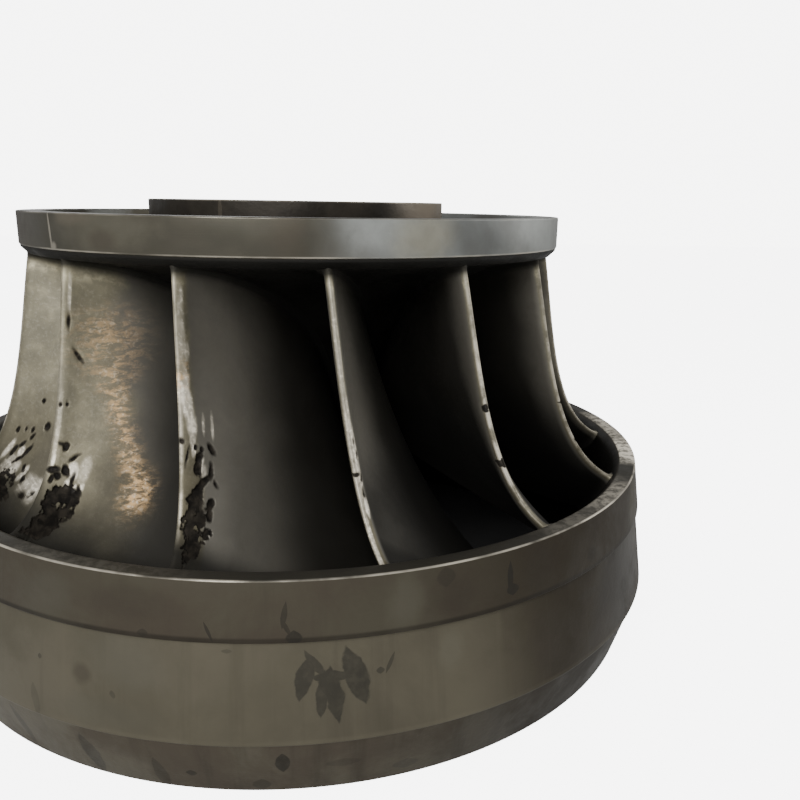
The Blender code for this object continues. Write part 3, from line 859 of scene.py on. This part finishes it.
def blade_wear_and_shade(index, points, reach, from_crown, from_band):
    """Give the blade's wear values with its painted shade and highlight, with reach below 0 on the face
    that looks away.
    """
    ground_width, dark_from, dark_full, least_dark, rusting, pitting, shining, nose = BLADE_WEAR_AND_SHADE[index]
    height = points[..., 2]
    slow = noise_at(points, 9.0, index + 20)
    facing = reach >= 0.0
    away = np.abs(reach)
    depth = 1.2 - height
    widening = 1.0 + 0.37 * depth + 2.9 * depth ** 2
    border = np.where(facing, ground_width * widening, 0.010) * (1.0 + 0.25 * slow)
    ground = 1.0 - step_up(away, border - 0.3 * ground_width, border + 0.3 * ground_width + 0.004)

    # Painted shade: the face darkens further from the nose and low down, standing for the shade in the
    # passages.
    start = np.where(facing, dark_from, 0.010) + 0.03 * slow
    dark = step_up(away, start, start + np.where(facing, dark_full - dark_from, 0.15))
    low_face = (1.0 - step_up(height, 0.72, 1.0)) * step_up(away, 0.10, 0.20)
    dark = np.maximum(least_dark + (1.0 - least_dark) * dark, 0.45 * low_face)

    pit = pit_depths(index, points, reach, height)
    crumbs = 0.6 * noise_at(points, 55.0, index) + noise_at(points, 130.0, index + 60)
    shine = np.zeros(reach.shape)
    for oval in in_metres(BARE.get(index, ())):
        shine = np.maximum(shine, oval[5] * step_up(oval_depth(reach, height, oval), -0.35, 0.45))
    if index not in BARE:
        halo = bell(np.minimum(pit, 0.0), 0.0, 0.010) * pitting * step_up(height, 0.68, 0.76)
        strip = facing * step_up(height, 0.86, 0.98) * (1.0 - step_up(reach, 0.016, 0.030))
        shine = np.maximum(halo * step_up(slow, -0.3, 0.2), 0.6 * strip)
    shine = shine * (0.55 + 0.45 * step_up(crumbs, -0.35, 0.30)) * shining

    centre = 0.13 + 0.06 * depth + 0.47 * depth ** 2
    width = 0.030 + 0.055 * step_up(height, 0.95, 1.10)
    streak = bell(reach, centre, width) * step_up(depth, -0.08, 0.05) * step_up(height, 0.64, 0.70)
    blob = bell(reach, 0.285, 0.032) * bell(height, 0.685, 0.040)
    spot = bell(reach, 0.150, 0.030) * bell(height, 1.005, 0.028)
    streak = (0.62 - 0.22 * step_up(height, 0.98, 1.06)) * streak
    rust = rusting * np.maximum(streak, np.maximum(1.5 * blob, 0.8 * spot))
    if index == TAN_BLADE:
        rust = np.maximum(rust, 0.7 * bell(height, 1.07, 0.05) * (1.0 - step_up(away, 0.020, 0.040)))

    # Painted shade near the band, low on the blades shaded by the next blade, and under the crown.
    foot = 1.0 - step_up(from_band, 0.05, 0.16 if index == TAN_BLADE else 0.27)
    if index in SHADED:
        foot = np.maximum(foot, 0.85 * (1.0 - step_up(height, 0.72, 0.96)))
        foot = foot * step_up(away, 0.008, 0.030)
    foot = np.maximum(foot, 1.0 - step_up(from_crown, 0.012, 0.040))
    # Share of the nose's painted highlight, by height.
    profile = (0.35 + 0.65 * step_up(height, 0.64, 0.80)) * (1.0 - 0.5 * step_up(height, 1.05, 1.25))
    return {"reach": away, "ground": ground, "dark": dark, "pit": pit, "shine": shine, "rust": rust,
            "foot": foot, "weld": bell(from_crown, 0.052, 0.016) * ground, "nose": nose * profile}


def blade_grid():
    """Give chord and span at a grid that is dense at the nose, the pits and the welds."""
    chord = np.concatenate([
        0.030 * np.linspace(0.0, 1.0, 9) ** 2, np.linspace(0.034, 0.36, 66), np.linspace(0.39, 1.0, 18)])
    span = np.concatenate([
        np.linspace(-0.012, 0.05, 8), np.linspace(0.07, 0.44, 30),
        np.linspace(0.45, 0.94, 84), np.linspace(0.95, 1.012, 9)])
    return np.meshgrid(chord, span)


def blade_mesh(index, sizes):
    """Build one blade with its rounded nose, weld fillets and pits."""
    chord, span = blade_grid()
    step = 0.002
    middle = camber(chord, span)
    along = unit(camber(chord + step, span) - camber(np.maximum(chord - step, 0.0), span))
    across = camber(chord, span + step) - camber(chord, span - step)
    normal = unit(np.cross(along, across))
    reach = running_length(middle, 1)
    down = running_length(middle, 0)
    crown_row = int(np.argmin(np.abs(span[:, 0])))
    band_row = int(np.argmin(np.abs(span[:, 0] - 1.0)))
    from_crown = np.clip(down - down[crown_row], 0.0, None)
    from_band = np.clip(down[band_row] - down, 0.0, None)
    weld = sizes.weld_radius
    flare = np.zeros_like(reach)
    for away in (from_crown, from_band):
        inside = np.clip(weld - away, 0.0, weld)
        flare = np.maximum(flare, weld - np.sqrt(weld ** 2 - inside ** 2))
    flare *= 0.35 + 0.65 * np.clip(reach / 0.05, 0.0, 1.0)
    thick = sizes.blade_thickness
    full = 0.5 * thick * np.interp(chord, THICKNESS_AT, THICKNESS_SHARE) + flare
    rounding = np.clip(reach / (NOSE_LENGTH * full), 0.0, 1.0)
    half = (full * np.sqrt(1.0 - (1.0 - rounding) ** 2))[..., None]
    shift = 0.4 * flare * np.clip(1.0 - reach / (3.0 * thick), 0.0, 1.0)
    middle = middle - along * shift[..., None]
    front = middle - normal * half
    back = middle + normal * half
    values = blade_wear_and_shade(index, front, reach, from_crown, from_band)
    others = blade_wear_and_shade(index, back, -reach, from_crown, from_band)
    inwards = normal + 0.8 * along * np.clip(1.0 - reach / thick, 0.0, 1.0)[..., None]
    front += inwards * (np.clip(values["pit"] / 0.004, 0.0, 1.0) * sizes.pit_depth)[..., None]
    rows, columns = reach.shape
    ring = np.concatenate([front, back[:, :0:-1]], axis=1)
    width = ring.shape[1]
    turn = 2 * math.pi * index / sizes.blade_count
    spin = np.array([[math.cos(turn), -math.sin(turn), 0.0],
                     [math.sin(turn), math.cos(turn), 0.0], [0.0, 0.0, 1.0]])
    faces = []
    for i in range(rows - 1):
        for j in range(width):
            after = (j + 1) % width
            faces.append((i * width + j, (i + 1) * width + j,
                          (i + 1) * width + after, i * width + after))
    for row, flip in ((0, False), (rows - 1, True)):
        base = row * width
        for j in range(columns - 1):
            a, b = base + j, base + j + 1
            c, d = base + (width - j - 1) % width, base + (width - j) % width
            corners = (a, b, base + width - 1) if j == 0 else (a, b, c, d)
            faces.append(corners if flip else tuple(reversed(corners)))
    mesh = bpy.data.meshes.new(f"blade_{index + 1:02d}_finish")
    mesh.from_pydata((ring.reshape(-1, 3) @ spin.T).tolist(), [], faces)
    for name, grid in values.items():
        both = np.concatenate([grid, others[name][:, :0:-1]], axis=1)
        attribute = mesh.attributes.new(name, "FLOAT", "POINT")
        attribute.data.foreach_set("value", both.reshape(-1).astype(np.float32))
    tidy = bmesh.new()
    tidy.from_mesh(mesh)
    bmesh.ops.recalc_face_normals(tidy, faces=tidy.faces[:])
    tidy.to_mesh(mesh)
    tidy.free()
    return smoothed(mesh)


def smoothed(mesh):
    """Shade a mesh smoothly up to its sharp edges."""
    mesh.shade_smooth()
    mesh.set_sharp_from_angle(angle=EDGE_ANGLE)
    return mesh


def rounded(corners, steps=4):
    """Give a closed outline with each corner (radius, height, rounding) turned to an arc."""
    points = []
    for i, (radius, height, rounding) in enumerate(corners):
        if rounding <= 0.0:
            points.append((radius, height))
            continue
        here = Vector((radius, height))
        before = Vector(corners[i - 1][:2]) - here
        after = Vector(corners[(i + 1) % len(corners)][:2]) - here
        reach = min(rounding, 0.45 * before.length, 0.45 * after.length)
        start = here + before.normalized() * reach
        end = here + after.normalized() * reach
        for k in range(steps + 1):
            t = k / steps
            points.append(tuple(start * (1 - t) ** 2 + here * (2 * t * (1 - t)) + end * t ** 2))
    return points


def lathe(name, outline):
    """Turn a closed outline, listed down its outer side first, into a ring."""
    angles = np.arange(RING_STEPS) * (2 * math.pi / RING_STEPS)
    radius, height = np.array(outline).T
    count = len(radius)
    points = np.stack([radius * np.cos(angles)[:, None], radius * np.sin(angles)[:, None],
                       np.broadcast_to(height, (RING_STEPS, count))], axis=-1)
    faces = []
    for i in range(RING_STEPS):
        here = i * count
        there = ((i + 1) % RING_STEPS) * count
        for j in range(count):
            after = (j + 1) % count
            faces.append((here + j, here + after, there + after, there + j))
    mesh = bpy.data.meshes.new(name)
    mesh.from_pydata(points.reshape(-1, 3).tolist(), [], faces)
    return smoothed(mesh)


def flow_corners(curve, count):
    """Give evenly stepped sharp corners along a flow line."""
    return [(float(r), float(z), 0.0) for r, z in cubic(curve, np.linspace(0.0, 1.0, count)).T]


def linked(context, name, mesh):
    """Put a mesh into the scene as an object."""
    item = bpy.data.objects.new(name, mesh)
    context.scene.collection.objects.link(item)
    return item


def evaluated(context, item):
    """Give an object's mesh with its modifiers applied, and remove the object."""
    context.view_layer.update()
    graph = context.evaluated_depsgraph_get()
    mesh = bpy.data.meshes.new_from_object(item.evaluated_get(graph))
    bpy.data.objects.remove(item, do_unlink=True)
    return mesh


def place_piece(name, mesh, material, slot, *nodes):
    """Link a finished mesh, let it ride on the runner and stand for its solids."""
    mesh.materials.clear()
    mesh.materials.append(material)
    item = linked(bpy.context, name, mesh)
    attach(item, ROOT)
    if nodes:
        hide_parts(*nodes)


def turned_piece(name, corners, material, slot, solid, steps=4):
    """Place a piece turned from corners with roundings."""
    place_piece(name, lathe(name, rounded(corners, steps)), material, slot, solid)


class RUNNER_OT_crown(bpy.types.Operator):
    """Builds the cast crown, the ring on its rim and the cone under it."""

    bl_idname = "runner.crown"
    bl_label = "Crown, rim ring and cone"

    def execute(self, context):
        sizes = context.scene.runner_sizes
        soft = sizes.edge_round
        inner = RIM_RADIUS - sizes.rim_width
        ring = [(RIM_RADIUS, RIM_TOP, soft), (RIM_RADIUS, RIM_FOOT, soft), (inner, RIM_FOOT, 0.0),
                (inner, RIM_TOP, soft)]
        turned_piece("rim_ring_finish", ring, ring_material(), "machined_ring_steel", "crown_seal_ring")
        crown = [(inner - SEAM, DECK_Z, 0.012), (inner - SEAM, RIM_FOOT - SEAM, 0.0),
                 (CROWN_RADIUS, RIM_FOOT - SEAM, 0.0), (CROWN_RADIUS, RIM_FOOT - 0.008, 0.004)]
        crown += flow_corners(CROWN_FLOW, 40)
        crown += [(BORE, CROWN_FOOT, 0.004), (BORE, FLANGE_FOOT, 0.0), (HUB_SEAT, FLANGE_FOOT, 0.004),
                  (HUB_FOOT, DECK_Z, 0.03)]
        material = crown_material()
        turned_piece("crown_finish", crown, material, "cast_crown_steel", "crown")
        bulge = (CONE_RADIUS + CONE_TIP) / 2 + 0.012
        cone = [(CONE_RADIUS, CONE_TOP, 0.004), (bulge, (CONE_TOP + CONE_FOOT) / 2, 0.25),
                (CONE_TIP, CONE_FOOT, 0.010), (CONE_TIP - CONE_WALL, CONE_FOOT, 0.010),
                (CONE_RADIUS - 3 * CONE_WALL, CONE_TOP, 0.0)]
        turned_piece("cone_finish", cone, material, "cast_crown_steel", "runner_cone", 8)
        return {"FINISHED"}


class RUNNER_OT_flange(bpy.types.Operator):
    """Builds the shaft flange with its circle of coupling bolt holes."""

    bl_idname = "runner.flange"
    bl_label = "Shaft flange"

    def execute(self, context):
        sizes = context.scene.runner_sizes
        soft, hole = sizes.edge_round, sizes.bolt_hole
        depth = 0.090
        chamfer = 0.006
        outline = rounded([(FLANGE_RADIUS, FLANGE_TOP, soft), (FLANGE_RADIUS, FLANGE_FOOT, 0.002),
                           (BORE, FLANGE_FOOT, 0.0), (BORE, FLANGE_TOP, soft)])
        item = linked(context, "flange_blank", lathe("flange_finish", outline))
        drill = bpy.data.meshes.new("coupling_drill")
        shape = bmesh.new()
        for i in range(sizes.bolt_count):
            turn = 2 * math.pi * (i + 0.5) / sizes.bolt_count
            spot = Matrix.Translation((sizes.bolt_circle * math.cos(turn),
                                       sizes.bolt_circle * math.sin(turn), FLANGE_TOP))
            for low, high, tall in ((hole, hole, 2 * depth),
                                    (hole - chamfer, hole + 3 * chamfer, 4 * chamfer)):
                bmesh.ops.create_cone(shape, cap_ends=True, segments=28, radius1=low, radius2=high,
                                      depth=tall, matrix=spot)
        shape.to_mesh(drill)
        shape.free()
        cut = item.modifiers.new("Holes", "BOOLEAN")
        cut.operation = "DIFFERENCE"
        cut.solver = "EXACT"
        cut.use_self = True
        cut.object = linked(context, "coupling_drill", drill)
        cutter = cut.object
        drilled = evaluated(context, item)
        bpy.data.objects.remove(cutter, do_unlink=True)
        place_piece("flange_finish", smoothed(drilled), flange_material(), "cast_crown_steel",
                    "coupling_flange")
        return {"FINISHED"}


class RUNNER_OT_blades(bpy.types.Operator):
    """Builds the blades with ground welds, worn noses with a painted highlight, and pits."""

    bl_idname = "runner.blades"
    bl_label = "Blades"

    def execute(self, context):
        sizes = context.scene.runner_sizes
        material = blade_material()
        for index in range(sizes.blade_count):
            name = f"blade_{index + 1:02d}"
            place_piece(f"{name}_finish", blade_mesh(index, sizes), material, "ground_blade_steel", name)
        return {"FINISHED"}


class RUNNER_OT_band(bpy.types.Operator):
    """Builds the lower band: lip, upper land, middle land and outlet ring."""

    bl_idname = "runner.band"
    bl_label = "Lower band"

    def execute(self, context):
        soft = context.scene.runner_sizes.edge_round
        band = [(LIP_OUTER, BAND_TOP, soft), (BAND_RADIUS, LAND_Z, 0.004), (BAND_SEAT, LAND_Z, 0.0),
                (BAND_SEAT, BAND_FOOT, 0.0)]
        band += flow_corners(BAND_FLOW, 26)[::-1] + [(LIP_INNER, BAND_TOP, 0.010)]
        turned_piece("band_finish", band, band_material(), "worn_band_steel", "band")
        seal = [(SEAL_SHOULDER, LAND_Z, 0.003), (SEAL_RADIUS, SEAL_FOOT, 0.006),
                (BAND_SEAT, SEAL_FOOT, 0.0), (BAND_SEAT, LAND_Z, 0.0)]
        turned_piece("middle_land_finish", seal, middle_land_material(), "worn_band_steel",
                     "band_seal_ring")
        outlet = [(OUTLET_RADIUS, OUTLET_TOP, 0.004), (OUTLET_SOLE, OUTLET_FOOT, 0.008),
                  (BAND_SEAT, OUTLET_FOOT, 0.0), (BAND_SEAT, OUTLET_TOP, 0.0)]
        turned_piece("outlet_ring_finish", outlet, outlet_ring_material(), "dark_band_steel",
                     "band_outlet_ring")
        return {"FINISHED"}


def screw_ring_tree():
    """Geometry Nodes: hexagon screws set in a circle, heads pointing down."""
    tree = bpy.data.node_groups.new("Screw Ring", "GeometryNodeTree")
    given = (("Geometry", "Geometry"), ("Count", "Int"), ("Circle Radius", "Float"),
             ("Head Radius", "Float"), ("Head Height", "Float"), ("Place Height", "Float"),
             ("Material", "Material"))
    for label, kind in given:
        tree.interface.new_socket(label, in_out="INPUT", socket_type="NodeSocket" + kind)
    tree.interface.new_socket("Geometry", in_out="OUTPUT", socket_type="NodeSocketGeometry")
    ends = tree.nodes.new("NodeGroupInput").outputs
    count, circle, radius, tall, place, material = (Wire(ends[label]) for label, kind in given[1:])
    ring = node(tree, "GeometryNodeMeshCircle", {"Vertices": count, "Radius": circle})
    lift = node(tree, "ShaderNodeCombineXYZ", {2: place})
    ring = node(tree, "GeometryNodeTransform", {"Geometry": ring, "Translation": lift})
    washer = node(tree, "GeometryNodeMeshCylinder",
                  {"Vertices": 20, "Radius": radius * 1.35, "Depth": tall * 0.35})
    head = node(tree, "GeometryNodeMeshCylinder", {"Vertices": 6, "Radius": radius, "Depth": tall})
    drop = node(tree, "ShaderNodeCombineXYZ", {2: tall * -0.6})
    head = node(tree, "GeometryNodeTransform", {"Geometry": head, "Translation": drop})
    screw = node(tree, "GeometryNodeJoinGeometry", {0: washer})
    tree.links.new(head.socket, screw.socket.node.inputs[0])
    spread = node(tree, "GeometryNodeInstanceOnPoints", {"Points": ring, "Instance": screw})
    real = node(tree, "GeometryNodeRealizeInstances", {0: spread})
    made = node(tree, "GeometryNodeSetMaterial", {"Geometry": real, "Material": material})
    tree.links.new(made.socket, tree.nodes.new("NodeGroupOutput").inputs[0])
    return tree


class RUNNER_OT_screws(bpy.types.Operator):
    """Builds the circle of screws that holds the cone under the crown."""

    bl_idname = "runner.screws"
    bl_label = "Cone screws"

    def execute(self, context):
        material = bolt_material()
        values = {"Count": 12, "Circle Radius": 0.215, "Head Radius": 0.014, "Head Height": 0.014,
                  "Place Height": CROWN_FOOT - 0.002, "Material": material}
        item = linked(context, "cone_screws", bpy.data.meshes.new("cone_screws"))
        modifier = item.modifiers.new("Grow", "NODES")
        modifier.node_group = screw_ring_tree()
        for socket in modifier.node_group.interface.items_tree:
            if socket.in_out == "INPUT" and socket.name in values:
                modifier[socket.identifier] = values[socket.name]
        mesh = evaluated(context, item)
        mesh.name = "cone_screws"
        place_piece("cone_screws", mesh, material, "cast_crown_steel")
        return {"FINISHED"}


class RUNNER_OT_stage(bpy.types.Operator):
    """Builds the pale floor, the soft lights and the camera."""

    bl_idname = "runner.stage"
    bl_label = "Stage"

    def execute(self, context):
        scene = context.scene
        settings = scene.runner_stage
        half = settings.floor_size / 2
        mesh = bpy.data.meshes.new("floor")
        mesh.from_pydata([(-half, -half, FLOOR_Z), (half, -half, FLOOR_Z), (half, half, FLOOR_Z),
                          (-half, half, FLOOR_Z)], [], [(0, 1, 2, 3)])
        mesh.materials.append(floor_material())
        floor = linked(context, "floor", mesh)
        self.add_light(context, "key_light", (-1.6, -6.0, 4.6), (0.0, -0.6, 0.8), 3.5, 420.0)
        self.add_light(context, "right_light", (5.5, 0.5, 3.4), (0.4, -0.6, 0.9), 2.5, 110.0)
        self.add_light(context, "back_light", (-2.5, 5.5, 4.5), (0.0, 0.0, 1.0), 3.5, 60.0)
        world = bpy.data.worlds.new("studio")
        world.use_nodes = True
        seen = node(world.node_tree, "ShaderNodeLightPath", out="Is Camera Ray")
        background = world.node_tree.nodes["Background"].inputs
        background["Color"].default_value = (0.97, 0.97, 0.96, 1.0)
        world.node_tree.links.new(seen.between(0.50, 7.0).socket, background["Strength"])
        scene.world = world
        lens = bpy.data.cameras.new("camera")
        lens.sensor_width = 36.0
        lens.lens = LENS
        camera = linked(context, "camera", lens)
        turn = Matrix.Rotation(settings.camera_yaw, 4, "Z")
        turn = turn @ Matrix.Rotation(math.pi / 2 - settings.camera_pitch, 4, "X")
        turn = turn @ Matrix.Rotation(settings.camera_roll, 4, "Z")
        camera.matrix_world = Matrix.Translation(settings.camera_place) @ turn
        scene.camera = camera
        return {"FINISHED"}

    @staticmethod
    def add_light(context, name, place, target, size, power):
        """Add one soft square light that looks at a target."""
        lamp = bpy.data.lights.new(name, "AREA")
        lamp.size = size
        lamp.energy = power
        item = linked(context, name, lamp)
        item.location = place
        look = Vector(target) - Vector(place)
        item.rotation_euler = look.to_track_quat("-Z", "Y").to_euler()


OPERATORS = (RUNNER_OT_stage, RUNNER_OT_crown, RUNNER_OT_flange, RUNNER_OT_blades, RUNNER_OT_band,
             RUNNER_OT_screws)


class RUNNER_PT_panel(bpy.types.Panel):
    """Lists the runner's pieces and settings in the sidebar."""

    bl_idname = "RUNNER_PT_panel"
    bl_label = "Francis Turbine Runner"
    bl_space_type = "VIEW_3D"
    bl_region_type = "UI"
    bl_category = "Runner"

    def draw(self, context):
        column = self.layout.column()
        for operator in OPERATORS:
            column.operator(operator.bl_idname)
        for attribute, kind in SETTINGS.items():
            box = self.layout.box()
            for name in kind.__annotations__:
                box.prop(getattr(context.scene, attribute), name)


SETTINGS = {"runner_sizes": RunnerSizes, "runner_colours": RunnerColours,
            "runner_stage": StageSettings}
CLASSES = tuple(SETTINGS.values()) + OPERATORS + (RUNNER_PT_panel,)


def register():
    """Register the classes and the scene's settings."""
    for item in CLASSES:
        bpy.utils.register_class(item)
    for attribute, kind in SETTINGS.items():
        setattr(bpy.types.Scene, attribute, bpy.props.PointerProperty(type=kind))


def unregister():
    """Remove what register added."""
    for attribute in SETTINGS:
        delattr(bpy.types.Scene, attribute)
    for item in reversed(CLASSES):
        bpy.utils.unregister_class(item)


def main():
    """Build the runner piece by piece."""
    register()
    add_groups()
    bpy.ops.runner.stage()
    bpy.ops.runner.crown()
    bpy.ops.runner.flange()
    bpy.ops.runner.blades()
    bpy.ops.runner.band()
    bpy.ops.runner.screws()


if __name__ == "__main__":
    main()
